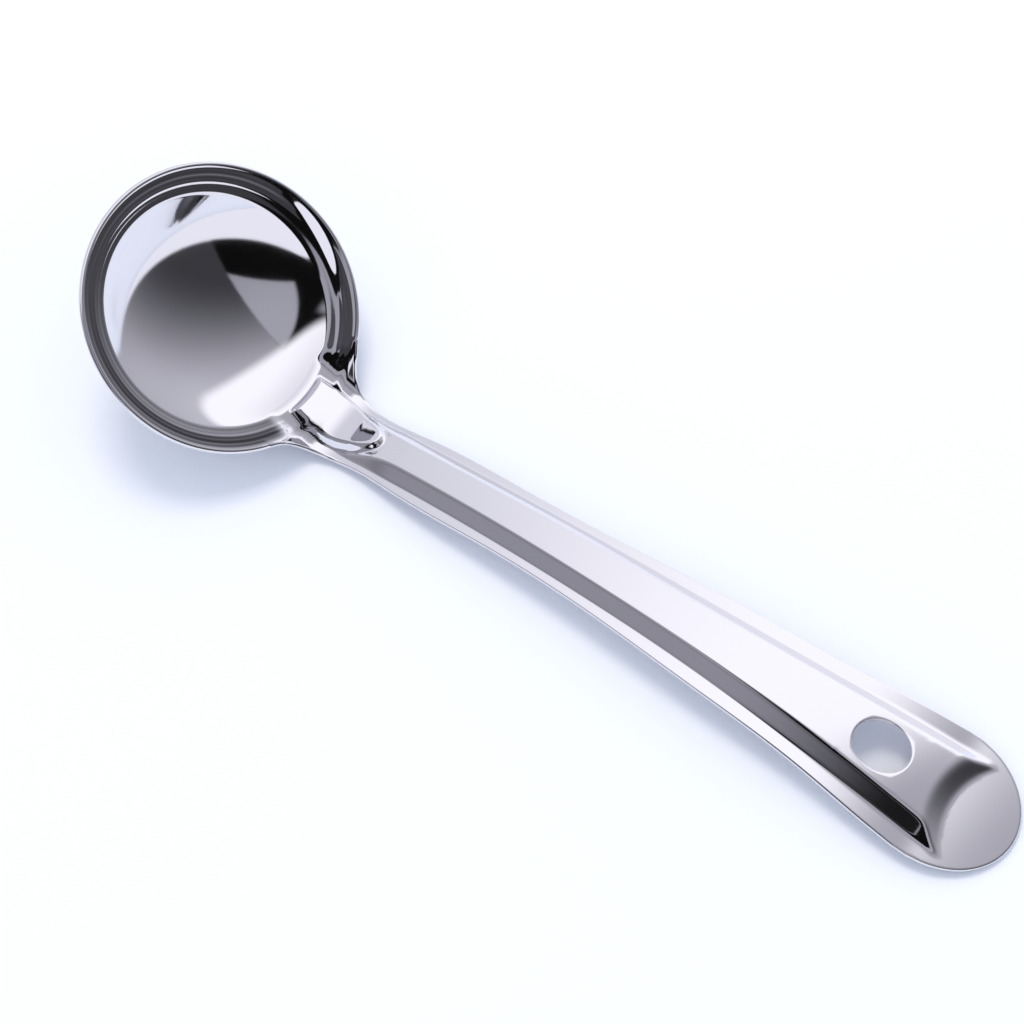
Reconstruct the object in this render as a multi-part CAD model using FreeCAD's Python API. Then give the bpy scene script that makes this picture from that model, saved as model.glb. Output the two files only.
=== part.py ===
import FreeCAD
import Part
import math
import os

# Small pressed steel ladle, one piece of sheet. Lengths are in mm.
# It lies as it rests on a table: on the bowl's bottom and on the handle's end.
# X runs from the bowl to the handle's end, Y across, Z up.

V = FreeCAD.Vector

# Sheet
sheet = 1.2

# Bowl, measured about its own axis, which leans towards the handle
bowl_outer_r = 24.2
rim_r = 28.0
rim_lean = 31.5
rim_slope = 30.0
bowl_edge_r = 1.4
bowl_edge_angle = -15.5
flat_at = 21.6
flat_half = 7.0

# Neck, the flat web between the bowl and the handle: it leaves the bowl below the rim
web_below_rim = 3.3
web_slope = 27.0
web_fillet = 16.0
neck_half = 6.9
bend_r = 13.0

# The flared rim folds down to the web on both sides of the neck
fold_half = 7.4
fold_lean = 47.0

# Handle, arched in side view: three points of its upper face
arch_start = (42.0, 3.96)
arch_top = (112.0, 7.96)
handle_end = 175.6

# Half widths of the handle in plan
handle_half = [(44.0, 6.83), (65.5, 7.08), (89.1, 7.9), (112.6, 9.58), (136.1, 11.2)]
tip_length = 15.96
tip_half = 13.6
tip_flare = 0.08

# Raised middle of the handle: x, half width at its foot, half width of its top, height
crown = [
    (28.0, 5.4, 5.0, 0.4),
    (32.5, 5.4, 3.8, 1.5),
    (37.0, 5.3, 2.9, 2.6),
    (43.0, 5.4, 2.7, 3.0),
    (65.5, 5.6, 2.9, 3.0),
    (89.0, 6.1, 3.4, 3.0),
    (112.6, 6.9, 4.2, 3.0),
    (136.0, 8.3, 5.6, 3.0),
    (154.0, 9.7, 7.0, 3.0),
    (172.0, 11.1, 8.4, 3.0),
]
crown_bulge = 0.15
crown_shoulder = 1.3

# Hollow end of the raised middle, round the flat pad at the tip
pad_r = 16.3
pad_centre = 178.6
pad_wall_run = 3.6
pad_wall_rise = 3.6

# Rib that stiffens the neck: x, half width at its foot, half width of its top, height
rib = [
    (15.0, 3.9, 2.8, 0.9),
    (18.5, 4.6, 3.3, 1.3),
    (22.5, 5.3, 4.0, 1.9),
    (26.5, 5.3, 3.9, 2.4),
    (30.0, 4.7, 3.2, 2.9),
    (33.0, 4.2, 2.6, 3.3),
    (35.4, 3.6, 2.0, 3.6),
    (37.0, 2.8, 1.4, 3.5),
    (38.0, 2.0, 0.8, 3.1),
]
rib_bulge = 0.25
rib_shoulder = 0.7
rib_end_lean = 30.0

# Oval hole to hang it by
hole_at = 146.9
hole_length = 11.1
hole_width = 9.6

lean = math.radians(rim_lean)


def lip_level():
    # Height of the rim's rounded edge against the centre of the bowl's sphere
    slope = math.radians(rim_slope)
    angle = math.radians(bowl_edge_angle)
    reach = bowl_outer_r - sheet / 2.0 + bowl_edge_r
    start_x = reach * math.cos(angle) - bowl_edge_r * math.sin(slope)
    start_z = reach * math.sin(angle) + bowl_edge_r * math.cos(slope)
    return start_z + (rim_r - sheet / 2.0 - start_x) * math.tan(slope)


# The bowl rests on the table, with the middle of its rim over x = 0
rim_drop = -lip_level()
bowl_x = rim_drop * math.sin(lean)
bowl_z = bowl_outer_r


def from_bowl(shape):
    # Puts a shape made about the bowl's own axis into place
    moved = shape.copy()
    moved.Placement = FreeCAD.Placement(V(bowl_x, 0, bowl_z), FreeCAD.Rotation(V(0, 1, 0), rim_lean))
    return moved


def polar(centre, radius, degrees):
    a = math.radians(degrees)
    return V(centre.x + radius * math.cos(a), 0, centre.z + radius * math.sin(a))


def arc(centre, radius, start, end):
    middle = polar(centre, radius, (start + end) / 2.0)
    return Part.Arc(polar(centre, radius, start), middle, polar(centre, radius, end)).toShape()


def bowl_shell():
    # One closed section of even thickness, turned about the bowl's axis
    half = sheet / 2.0
    middle_r = bowl_outer_r - half
    origin = V(0, 0, 0)
    turn = polar(origin, middle_r + bowl_edge_r, bowl_edge_angle)
    slope = math.radians(rim_slope)
    line_start = polar(turn, bowl_edge_r, 90.0 + rim_slope)
    run = (rim_r - half - line_start.x) / math.cos(slope)
    lip = V(rim_r - half, 0, line_start.z + run * math.sin(slope))
    up = V(-math.sin(slope) * half, 0, math.cos(slope) * half)
    inner_arc = arc(origin, middle_r - half, -90.0, bowl_edge_angle)
    inner_turn = arc(turn, bowl_edge_r + half, 180.0 + bowl_edge_angle, 90.0 + rim_slope)
    top_line = Part.makeLine(line_start + up, lip + up)
    lip_arc = arc(lip, half, 90.0 + rim_slope, -90.0 + rim_slope)
    under_line = Part.makeLine(lip - up, line_start - up)
    outer_turn = arc(turn, bowl_edge_r - half, 90.0 + rim_slope, 180.0 + bowl_edge_angle)
    outer_arc = arc(origin, middle_r + half, bowl_edge_angle, -90.0)
    axis_line = Part.makeLine(V(0, 0, -middle_r - half), V(0, 0, -middle_r + half))
    edges = [inner_arc, inner_turn, top_line, lip_arc, under_line, outer_turn, outer_arc, axis_line]
    face = Part.Face(Part.Wire(Part.__sortEdges__(edges)))
    return face.revolve(V(0, 0, 0), V(0, 0, 1), 360)


def circle_through(a, b, c):
    # Centre and radius of the circle through three points of the side view
    ax, az = a
    bx, bz = b
    cx, cz = c
    d = 2.0 * (ax * (bz - cz) + bx * (cz - az) + cx * (az - bz))
    sa = ax * ax + az * az
    sb = bx * bx + bz * bz
    sc = cx * cx + cz * cz
    ux = (sa * (bz - cz) + sb * (cz - az) + sc * (az - bz)) / d
    uz = (sa * (cx - bx) + sb * (ax - cx) + sc * (bx - ax)) / d
    return (ux, uz), math.hypot(ax - ux, az - uz)


arch_centre, arch_r = circle_through(arch_start, arch_top, (handle_end, sheet))

# The bend joins the web's slope to the arch: its centre is above both
slope_down = math.radians(web_slope)
web_dir = (math.cos(slope_down), -math.sin(slope_down))
web_up = (math.sin(slope_down), math.cos(slope_down))
web_depth = web_below_rim + rim_drop
web_point = (
    bowl_x + flat_at * math.cos(lean) - web_depth * math.sin(lean),
    bowl_z - flat_at * math.sin(lean) - web_depth * math.cos(lean),
)
shifted = (web_point[0] + bend_r * web_up[0], web_point[1] + bend_r * web_up[1])
to_centre = (shifted[0] - arch_centre[0], shifted[1] - arch_centre[1])
along = to_centre[0] * web_dir[0] + to_centre[1] * web_dir[1]
reach = along * along - (to_centre[0] ** 2 + to_centre[1] ** 2 - (arch_r + bend_r) ** 2)
travel = -along - math.sqrt(reach)
if travel < 0:
    travel = -along + math.sqrt(reach)
bend_centre = (shifted[0] + travel * web_dir[0], shifted[1] + travel * web_dir[1])
bend_start = (bend_centre[0] - bend_r * web_up[0], bend_centre[1] - bend_r * web_up[1])
share = arch_r / (arch_r + bend_r)
bend_end = (
    arch_centre[0] + share * (bend_centre[0] - arch_centre[0]),
    arch_centre[1] + share * (bend_centre[1] - arch_centre[1]),
)


def upper_z(x):
    # Height of the strip's upper face
    if x < bend_start[0]:
        return web_point[1] + (x - web_point[0]) * web_dir[1] / web_dir[0]
    if x < bend_end[0]:
        return bend_centre[1] - math.sqrt(bend_r ** 2 - (x - bend_centre[0]) ** 2)
    return arch_centre[1] + math.sqrt(arch_r ** 2 - (x - arch_centre[0]) ** 2)


def side_edges(depth):
    # Side view of the strip at a depth under its upper face: slope, bend and arch
    first = V(web_point[0] + 0.3, 0, upper_z(web_point[0] + 0.3)) - V(web_up[0], 0, web_up[1]) * depth
    start = V(bend_start[0], 0, bend_start[1]) - V(web_up[0], 0, web_up[1]) * depth
    r = bend_r + depth
    angle_start = math.atan2(start.z - bend_centre[1], start.x - bend_centre[0])
    angle_end = math.atan2(bend_end[1] - bend_centre[1], bend_end[0] - bend_centre[0])
    middle = (angle_start + angle_end) / 2.0
    mid = V(bend_centre[0] + r * math.cos(middle), 0, bend_centre[1] + r * math.sin(middle))
    end = V(bend_centre[0] + r * math.cos(angle_end), 0, bend_centre[1] + r * math.sin(angle_end))
    big = arch_r - depth
    far_x = handle_end + 12.0
    far = V(far_x, 0, arch_centre[1] + math.sqrt(big ** 2 - (far_x - arch_centre[0]) ** 2))
    mid_x = arch_centre[0]
    top = V(mid_x, 0, arch_centre[1] + big)
    edges = [Part.makeLine(first, start), Part.Arc(start, mid, end).toShape(), Part.Arc(end, top, far).toShape()]
    return edges, first, far


def slab(top_depth, bottom_depth):
    upper, u0, u1 = side_edges(top_depth)
    lower, l0, l1 = side_edges(bottom_depth)
    edges = upper + lower + [Part.makeLine(u0, l0), Part.makeLine(u1, l1)]
    face = Part.Face(Part.Wire(Part.__sortEdges__(edges)))
    face.translate(V(0, -30, 0))
    return face.extrude(V(0, 60, 0))


def below_strip():
    # Everything under the strip's lower face
    lower, l0, l1 = side_edges(sheet)
    floor_z = -20.0
    a = V(l0.x, 0, floor_z)
    b = V(l1.x, 0, floor_z)
    edges = lower + [Part.makeLine(l0, a), Part.makeLine(a, b), Part.makeLine(b, l1)]
    face = Part.Face(Part.Wire(Part.__sortEdges__(edges)))
    face.translate(V(0, -30, 0))
    return face.extrude(V(0, 60, 0))


def plan_prism():
    # Outline seen from above: hollow fillets from the rim, a widening handle, an oval end
    centre_y = neck_half + web_fillet
    centre_x = math.sqrt((rim_r + web_fillet) ** 2 - centre_y ** 2)
    tangent = rim_r / (rim_r + web_fillet)
    start_x = tangent * centre_x
    points = []
    for share_x in (0.0, 0.2, 0.45, 0.72):
        along_rim = start_x + share_x * (centre_x - start_x)
        y = centre_y - math.sqrt(web_fillet ** 2 - (centre_x - along_rim) ** 2)
        points.append(V(along_rim * math.cos(lean) - web_below_rim * math.sin(lean), y, 0))
    for x, half in handle_half:
        points.append(V(x, half, 0))
    tip_centre = handle_end - tip_length
    join = math.atan2(1.0, -tip_flare * tip_length / tip_half)
    joint = V(tip_centre + tip_length * math.cos(join), tip_half * math.sin(join), 0)
    points.append(V(joint.x - 7.0, joint.y - 7.0 * tip_flare * 1.05, 0))
    points.append(joint)
    side = Part.BSplineCurve()
    side.interpolate(points)
    left = side.toShape()
    right = left.mirror(V(0, 0, 0), V(0, 1, 0))
    end = V(handle_end, 0, 0)
    tip_curve = Part.Ellipse(V(tip_centre, 0, 0), tip_length, tip_half)
    tip = Part.ArcOfEllipse(tip_curve, -join, join).toShape()
    back_x = web_point[0] + 1.0
    a = V(points[0].x, points[0].y, 0)
    b = V(points[0].x, -points[0].y, 0)
    edges = [left, right, tip, Part.makeLine(a, V(back_x, 8.0, 0)), Part.makeLine(V(back_x, 8.0, 0), V(back_x, -8.0, 0)),
             Part.makeLine(V(back_x, -8.0, 0), b)]
    face = Part.Face(Part.Wire(Part.__sortEdges__(edges)))
    face.translate(V(0, 0, -20))
    return face.extrude(V(0, 0, 60))


def raised_section(x, foot, top, height, bulge, shoulder, depth):
    # Cross-section of a raised form: sloping sides, rounded shoulders, slightly domed top
    z0 = upper_z(x)
    side_run = min((foot - top) / height, 1.0)
    low = V(x, foot + side_run * depth, z0 - depth)
    corner = V(x, top, z0 + height)
    down = V(0, foot - top, -height).normalize()
    wall = corner + down * min(shoulder, 0.45 * math.hypot(foot - top, height))
    cap = V(x, top - min(shoulder, 0.45 * top), z0 + height + bulge * 0.35)
    crest = V(x, 0, z0 + height + bulge)

    def other(p):
        return V(p.x, -p.y, p.z)

    right_curve = Part.BezierCurve()
    right_curve.setPoles([wall, corner, cap])
    left_curve = Part.BezierCurve()
    left_curve.setPoles([other(cap), other(corner), other(wall)])
    edges = [
        Part.makeLine(other(low), low),
        Part.makeLine(low, wall),
        right_curve.toShape(),
        Part.Arc(cap, crest, other(cap)).toShape(),
        left_curve.toShape(),
        Part.makeLine(other(wall), other(low)),
    ]
    return Part.Wire(edges)


def raised(stations, bulge, shoulder, depth):
    wires = []
    for x, foot, top, height in stations:
        wires.append(raised_section(x, foot, top, height, bulge, shoulder, depth))
    return Part.makeLoft(wires, True, False)


def crown_form():
    # The raised middle, cut off at the tip by a cone that leaves a hollow, sloping end wall
    form = raised(crown, crown_bulge, crown_shoulder, 3.2)
    z0 = upper_z(pad_centre - pad_r)
    low = 6.0
    high = 8.0
    spread = pad_wall_run / pad_wall_rise
    slope = math.degrees(math.asin((pad_centre - pad_r - arch_centre[0]) / arch_r))
    cone = Part.makeCone(pad_r - spread * low, pad_r + spread * high, low + high, V(0, 0, -low), V(0, 0, 1))
    cone.translate(V(pad_r, 0, 0))
    cone.rotate(V(0, 0, 0), V(0, 1, 0), slope)
    cone.translate(V(pad_centre - pad_r, 0, z0))
    return form.cut(cone)


def rib_form():
    # The neck's rib, with a sloping end towards the bowl
    form = raised(rib, rib_bulge, rib_shoulder, 4.2)
    cutter = Part.makeBox(20.0, 40.0, 40.0, V(-20.0, -20.0, -20.0))
    cutter.rotate(V(0, 0, 0), V(0, 1, 0), rib_end_lean)
    cutter.translate(V(flat_at + 1.0, 0, -web_depth + 0.1))
    return form.cut(from_bowl(cutter))


def above_web(widen, drop):
    # A trough that opens upwards over the web, with sloping sides
    high = 16.0
    spread = math.tan(math.radians(fold_lean))
    half = fold_half + widen / math.cos(math.radians(fold_lean)) - drop * spread
    top_half = half + (high + drop) * spread
    corners = [V(0, -half, -drop), V(0, half, -drop), V(0, top_half, high), V(0, -top_half, high)]
    face = Part.Face(Part.makePolygon(corners + [corners[0]]))
    trough = face.extrude(V(30.0, 0, 0))
    trough.rotate(V(0, 0, 0), V(0, 1, 0), web_slope)
    trough.translate(V(web_point[0], 0, web_point[1]) - V(web_dir[0], 0, web_dir[1]) * 6.0)
    return trough


def beside_web():
    # What lies outside the trough, level with the web
    block = Part.makeBox(18.0, 60.0, 3.0, V(0, -30.0, -2.0))
    block.rotate(V(0, 0, 0), V(0, 1, 0), web_slope)
    block.translate(V(web_point[0], 0, web_point[1]) - V(web_dir[0], 0, web_dir[1]) * 5.0)
    return block.cut(above_web(sheet, sheet + 1.6))


def fold_ramps():
    # The two folded pieces between the rim and the web, as thick as the sheet
    slope = math.radians(rim_slope)
    half = sheet / 2.0
    turn = polar(V(0, 0, 0), bowl_outer_r - half + bowl_edge_r, bowl_edge_angle)
    start = polar(turn, bowl_edge_r, 90.0 + rim_slope)
    outer = rim_r - 0.2
    inner = bowl_outer_r - 2.0
    far = rim_r + 8.0
    top = start.z + (outer - start.x) * math.tan(slope)
    low = start.z + (inner - start.x) * math.tan(slope)
    corners = [V(inner, 0, -14), V(far, 0, -14), V(far, 0, top), V(outer, 0, top), V(inner, 0, low)]
    ring = from_bowl(Part.Face(Part.makePolygon(corners + [corners[0]])).revolve(V(0, 0, 0), V(0, 0, 1), 360))
    ball = from_bowl(Part.makeSphere(bowl_outer_r - 0.5, V(0, 0, 0), V(0, 0, 1), -90, 90, 360))
    sides = above_web(sheet, sheet - 0.2).cut(above_web(0.0, 0.0))
    disc = from_bowl(Part.makeCylinder(outer, 40.0, V(0, 0, -20.0)))
    outline = plan_prism().fuse(disc)
    return ring.common(sides).common(outline).cut(ball)


def flat_fill():
    # The bowl's wall is pressed flat where the rib meets it
    ball = Part.makeSphere(bowl_outer_r, V(0, 0, 0), V(0, 0, 1), -90, 90, 360)
    box = Part.makeBox(10.0, 2 * flat_half, 9.0, V(flat_at, -flat_half, -web_depth - 6.0))
    return from_bowl(ball.common(box))


def hang_hole():
    slope = math.degrees(math.asin((hole_at - arch_centre[0]) / arch_r))
    oval = Part.Ellipse(V(0, 0, 0), hole_length / 2.0, hole_width / 2.0).toShape()
    face = Part.Face(Part.Wire([oval]))
    tool = face.extrude(V(0, 0, 40))
    tool.translate(V(0, 0, -20))
    tool.rotate(V(0, 0, 0), V(0, 1, 0), slope)
    tool.translate(V(hole_at, 0, upper_z(hole_at)))
    return tool


def build():
    bowl = from_bowl(bowl_shell()).fuse(flat_fill()).cut(above_web(0.0, 0.0))
    strip = slab(0.0, sheet).common(plan_prism()).cut(beside_web())
    under = below_strip()
    crown_full = crown_form()
    rib_full = rib_form()
    ball = from_bowl(Part.makeSphere(bowl_outer_r - 0.3, V(0, 0, 0), V(0, 0, 1), -90, 90, 360))
    rib_up = rib_full.cut(under)
    crown_up = crown_full.cut(under)
    body = bowl.fuse([strip, fold_ramps(), crown_up, rib_up])
    hollow_rib = rib_full.copy()
    hollow_rib.translate(V(0, 0, -sheet))
    hollow_rib = hollow_rib.cut(ball)
    hollow_crown = crown_full.copy()
    hollow_crown.translate(V(0, 0, -sheet))
    body = body.cut([hollow_rib, hollow_crown, hang_hole()])
    return body


body = build()
print("solids", len(body.Solids), "valid", body.isValid(), "volume", round(body.Volume, 1))
box = body.optimalBoundingBox(False, False)
body.translate(V(-(box.XMin + box.XMax) / 2.0, 0, -box.ZMin))
box = body.optimalBoundingBox(False, False)
print("box", [round(v, 3) for v in (box.XMin, box.XMax, box.YMin, box.YMax, box.ZMin, box.ZMax)])
os.makedirs("parts", exist_ok=True)
shape = body.Solids[0] if len(body.Solids) == 1 else body
shape.exportStep("parts/ladle.step")
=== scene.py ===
import math

import bpy
import numpy as np
from mathutils import Matrix, Vector


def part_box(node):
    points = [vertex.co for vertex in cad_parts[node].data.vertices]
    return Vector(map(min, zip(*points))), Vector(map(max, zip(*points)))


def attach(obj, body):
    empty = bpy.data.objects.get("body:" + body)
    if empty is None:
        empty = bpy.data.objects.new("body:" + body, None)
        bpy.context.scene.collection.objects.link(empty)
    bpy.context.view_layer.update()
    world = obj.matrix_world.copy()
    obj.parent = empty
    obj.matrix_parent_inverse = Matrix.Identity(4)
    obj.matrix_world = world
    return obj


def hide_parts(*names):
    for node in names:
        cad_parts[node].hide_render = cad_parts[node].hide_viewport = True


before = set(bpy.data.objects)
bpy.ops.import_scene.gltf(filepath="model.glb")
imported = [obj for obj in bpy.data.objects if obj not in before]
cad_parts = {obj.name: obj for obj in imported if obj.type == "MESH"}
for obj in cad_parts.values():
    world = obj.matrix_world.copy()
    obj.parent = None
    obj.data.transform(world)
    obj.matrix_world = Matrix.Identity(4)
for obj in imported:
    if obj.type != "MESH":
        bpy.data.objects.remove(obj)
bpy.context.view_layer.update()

bl_info = {
    "name": "Steel serving ladle",
    "version": (1, 0, 0),
    "blender": (4, 5, 0),
    "location": "View3D > Sidebar > Ladle",
    "description": "Builds a small pressed steel ladle lying on a white table",
    "category": "Add Mesh",
}

MM = 0.001
SHEET = 1.2
HALF_SHEET = SHEET / 2.0

# Bowl, about its own axis
BALL_R = 23.6
BOWL_REST = 24.2
EDGE_BEND_R = 1.4
EDGE_ANGLE = math.radians(-15.5)
RIM_SLOPE = math.radians(30.0)
RIM_LEAN = math.radians(31.5)
RIM_BOW = 0.1
LIP_R = 27.4

# Web between the bowl and the handle
WEB_START = 21.6
WEB_BELOW_RIM = 3.3
WEB_SLOPE = math.radians(27.0)
WEB_FILLET = 16.0
NECK_HALF = 6.9
BEND_R = 13.0
FOLD_START = 7.64
FOLD_LEAN = math.radians(47.0)

# Handle
ARCH_START = (42.0, 3.96)
ARCH_TOP = (112.0, 7.96)
HANDLE_END = 175.6
HANDLE_HALF = ((44.0, 6.83), (65.5, 7.08), (89.1, 7.9), (112.6, 9.58), (136.1, 11.2))
TIP_LENGTH = 15.96
TIP_HALF = 13.6
TIP_FLARE = 0.08
CUT_CORNER = 0.3

# Raised middle of the handle: half width of its foot and share of its full height, along the handle
CROWN_FOOT = (
    (28.0, 5.4), (43.0, 5.4), (65.5, 5.6), (89.0, 6.1),
    (112.6, 6.9), (136.0, 8.3), (154.0, 9.7), (172.0, 11.1),
)
CROWN_RISE = ((24.0, 0.0), (28.0, 0.13), (32.5, 0.5), (37.0, 0.87), (43.0, 1.0), (60.0, 1.0))
CROWN_BULGE = 0.15
PAD_R = 16.3
PAD_CENTRE = 178.6

# Rib on the neck: half width and height, along the handle
RIB_HALF = ((12.0, 3.6), (18.5, 4.6), (22.5, 5.3), (26.5, 5.3), (31.0, 4.7))
RIB_HEIGHT = (
    (15.0, 0.9), (18.5, 1.3), (22.5, 1.9), (26.5, 2.4),
    (30.0, 2.9), (33.0, 3.3), (35.4, 3.6), (40.0, 3.6),
)
RIB_BULGE = 0.25
RIB_STEEP = 1.9
TONGUE_START = 31.0
TONGUE_LENGTH = 7.4
TONGUE_HALF = 4.7

# Hanging hole: its rounded edge, and the part of the grid round it that its rings take up
HOLE_ROUND = 0.2
HOLE_FRAME_LONG = 1.6
HOLE_FRAME_WIDE = 1.2

# Rows and columns of the mesh
NECK_COLUMNS = 69
REST_COLUMNS = 211
BOWL_ROWS = 44
EDGE_ROWS = 12
FLANGE_ROWS = 22
WEB_ROWS = 36
WEB_ROWS_END = 40.0
HANDLE_ROWS = 259
TIP_ROWS = 30
HOLE_RINGS = 6
EDGE_RINGS = 10

# Shading normals of the bowl's inside: axis they are turned to, share of the angle kept, steepest angle
BOWL_TILT = math.radians(42.0)
BOWL_EASE = 0.55
BOWL_STEEPEST = math.radians(44.0)
LOW_SIDE = math.radians(-125.0)
LOW_SIDE_STEEPEST = math.radians(21.5)

# Shading normals of the flared rim: axis, share, one slow roll and fine ripples across it
RIM_TILT = math.radians(43.0)
RIM_ASIDE = math.radians(-12.0)
RIM_EASE = 0.32
ROLL = math.radians(9.0)
ROLL_TURNS = 1.1
ROLL_FROM = 0.12
RIPPLE = math.radians(6.0)
RIPPLE_TURNS = 4.6
RIPPLE_DRIFT = 2.2
RIPPLE_FROM = 0.6

# Light streak on the rim: place and length round it, place and width across it, direction it faces
STREAK_AT = math.radians(78.0)
STREAK_LENGTH = math.radians(22.0)
STREAK_ACROSS = 0.56
STREAK_SLANT = 0.2
STREAK_WIDTH = 0.24
STREAK_GAIN = 1.25
STREAK_CALM = 0.85
STREAK_AZIMUTH = -52.0
STREAK_RISE = 36.0

# Shading normals of the neck, and of the wall before the pad
NECK_BACK = math.radians(9.0)
NECK_BACK_TO = 35.0
NECK_ANGLE = math.radians(15.0)
NECK_BLEND = math.radians(10.0)
WALL_EASE = 0.35
WALL_EASE_FROM = 157.0
JOIN_ROWS = 5

# Studio: the cloth shines a little brighter than its tones, because steel takes some of the light
TENT_LEVEL = 1.28
TENT_BASE = 230
TENT_R = 2.4


class Sizes:
    """Sizes in millimetres that the panel can change; the operators put the panel's values here."""

    crown_wall = 2.7
    crown_height = 3.0
    hole_at = 146.9
    hole_half_length = 5.55
    hole_half_width = 4.8


def smooth_min(a, b, blend):
    """The lower of two heights, with a rounded corner between them."""
    gap = np.maximum(blend - np.abs(a - b), 0.0) / blend
    return np.minimum(a, b) - gap * gap * blend * 0.25


def smooth_max(a, b, blend):
    """The higher of two heights, with a rounded corner between them."""
    return -smooth_min(-a, -b, blend)


def ease(t):
    """Runs smoothly from 0 to 1 while t does."""
    t = np.clip(t, 0.0, 1.0)
    return t * t * (3.0 - 2.0 * t)


class Spline:
    """A natural cubic spline through a few points."""

    def __init__(self, points):
        self.x = np.array([p[0] for p in points], dtype=float)
        self.y = np.array([p[1] for p in points], dtype=float)
        n = len(points)
        h = np.diff(self.x)
        a = np.zeros((n, n))
        b = np.zeros(n)
        a[0, 0] = 1.0
        a[-1, -1] = 1.0
        for i in range(1, n - 1):
            a[i, i - 1] = h[i - 1]
            a[i, i] = 2.0 * (h[i - 1] + h[i])
            a[i, i + 1] = h[i]
            b[i] = 6.0 * ((self.y[i + 1] - self.y[i]) / h[i] - (self.y[i] - self.y[i - 1]) / h[i - 1])
        self.m = np.linalg.solve(a, b)

    def __call__(self, x):
        x = np.asarray(x, dtype=float)
        i = np.clip(np.searchsorted(self.x, x) - 1, 0, len(self.x) - 2)
        h = self.x[i + 1] - self.x[i]
        t = np.clip(x, self.x[0], self.x[-1]) - self.x[i]
        u = h - t
        m0 = self.m[i]
        m1 = self.m[i + 1]
        first = (m0 * u**3 + m1 * t**3) / (6.0 * h)
        return first + (self.y[i] / h - m0 * h / 6.0) * u + (self.y[i + 1] / h - m1 * h / 6.0) * t


def lip_level():
    """Height of the rim's rounded edge against the centre of the bowl's sphere."""
    start_x, start_z = flange_start()
    return start_z + (LIP_R - start_x) * math.tan(RIM_SLOPE)


def flange_start():
    """Where the small bend at the bowl's edge runs into the flared rim."""
    reach = BALL_R + EDGE_BEND_R
    start_x = reach * math.cos(EDGE_ANGLE) - EDGE_BEND_R * math.sin(RIM_SLOPE)
    start_z = reach * math.sin(EDGE_ANGLE) + EDGE_BEND_R * math.cos(RIM_SLOPE)
    return start_x, start_z


RIM_DROP = -lip_level()
BOWL_X = RIM_DROP * math.sin(RIM_LEAN)
AXIS = np.array([math.sin(RIM_LEAN), 0.0, math.cos(RIM_LEAN)])
ALONG = np.array([math.cos(RIM_LEAN), 0.0, -math.sin(RIM_LEAN)])
ACROSS = np.array([0.0, 1.0, 0.0])
UP = np.array([0.0, 0.0, 1.0])
BALL_CENTRE = np.array([BOWL_X, 0.0, BOWL_REST])


def from_rim(x, y, h):
    """Points given along the rim, across it and along the bowl's axis."""
    x, y, h = np.broadcast_arrays(x, y, h)
    return BALL_CENTRE + x[..., None] * ALONG + y[..., None] * ACROSS + h[..., None] * AXIS


def circle_through(a, b, c):
    """Centre and radius of the circle through three points."""
    d = 2.0 * (a[0] * (b[1] - c[1]) + b[0] * (c[1] - a[1]) + c[0] * (a[1] - b[1]))
    sa = a[0] ** 2 + a[1] ** 2
    sb = b[0] ** 2 + b[1] ** 2
    sc = c[0] ** 2 + c[1] ** 2
    ux = (sa * (b[1] - c[1]) + sb * (c[1] - a[1]) + sc * (a[1] - b[1])) / d
    uz = (sa * (c[0] - b[0]) + sb * (a[0] - c[0]) + sc * (b[0] - a[0])) / d
    return (ux, uz), math.hypot(a[0] - ux, a[1] - uz)


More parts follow.
